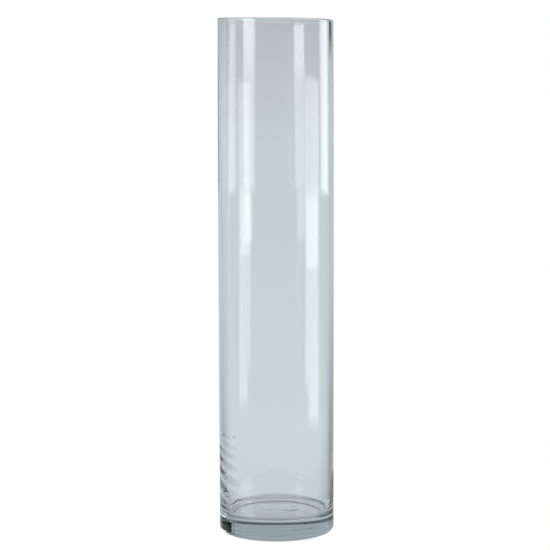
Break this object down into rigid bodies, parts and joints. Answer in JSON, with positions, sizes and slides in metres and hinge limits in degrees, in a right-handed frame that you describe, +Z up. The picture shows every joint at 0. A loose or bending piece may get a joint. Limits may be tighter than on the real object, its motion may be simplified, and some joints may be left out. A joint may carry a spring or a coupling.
{
  "type": "glass cylinder vase",
  "caption": "Tall straight-sided clear glass cylinder vase for cut flowers, open at the top with a flat polished rim, on a thick solid base with a rounded heel.",
  "frame": {"origin": "middle of the circle that the vase stands on, on its axis", "axes": "+Z up along the cylinder's axis, out of the mouth; X and Y are equal"},
  "size_m": [0.09, 0.09, 0.4],
  "materials": {
    "glass": "clear soda-lime glass with a faint grey-blue tint, smooth and fire-polished"
  },
  "bodies": {
    "root": {"base": "glass", "wall": "glass", "rim": "glass"}
  },
  "joints": []
}
